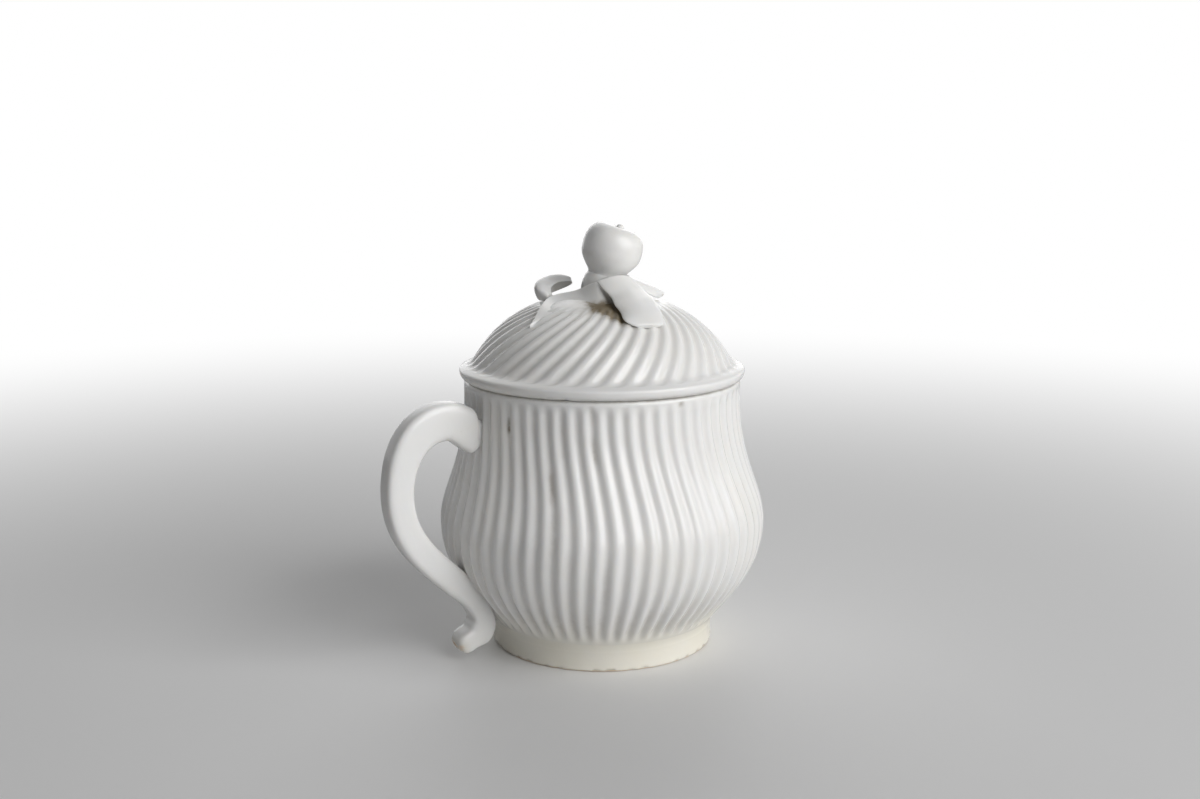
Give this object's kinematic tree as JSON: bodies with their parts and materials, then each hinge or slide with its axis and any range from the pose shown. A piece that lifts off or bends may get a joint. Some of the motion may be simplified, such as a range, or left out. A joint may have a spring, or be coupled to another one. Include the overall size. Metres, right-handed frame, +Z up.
{
  "type": "covered cream pot",
  "caption": "Covered cream pot in white glazed porcelain: wavy reeded baluster cup with scroll handle and foot ring, and a lift-off domed lid with a fruit and leaf finial.",
  "frame": {"origin": "on the table plane, under the middle of the whole pot's box (the pot's own axis stands 8.75 mm to +X of it)", "axes": "+Z up, -X towards the handle, +Y across the handle's plane"},
  "size_m": [0.0962, 0.0788, 0.1018],
  "materials": {
    "white_glaze": "glossy clear glaze over warm white porcelain",
    "foot_glaze": "glossy glaze, pooled creamier over the foot"
  },
  "bodies": {
    "pot": {"pot_body": "white_glaze", "foot_ring": "foot_glaze", "handle": "white_glaze"},
    "lid_seat": {"lid_flange": "white_glaze"},
    "lid": {"lid_dome": "white_glaze", "finial_stalk": "white_glaze", "finial_fruit": "white_glaze", "finial_calyx": "white_glaze", "leaf_left": "white_glaze", "leaf_front": "white_glaze", "leaf_back": "white_glaze", "leaf_right": "white_glaze"}
  },
  "joints": [
    {"name": "lid_lift", "type": "slide", "parent": "pot", "child": "lid_seat", "axis": [0, 0, 1], "range_m": [0, 0.06]},
    {"name": "lid_turn", "type": "hinge", "parent": "lid_seat", "child": "lid", "pos_m": [0.00875, 0, 0.065], "axis": [0, 0, 1], "continuous": true}
  ]
}
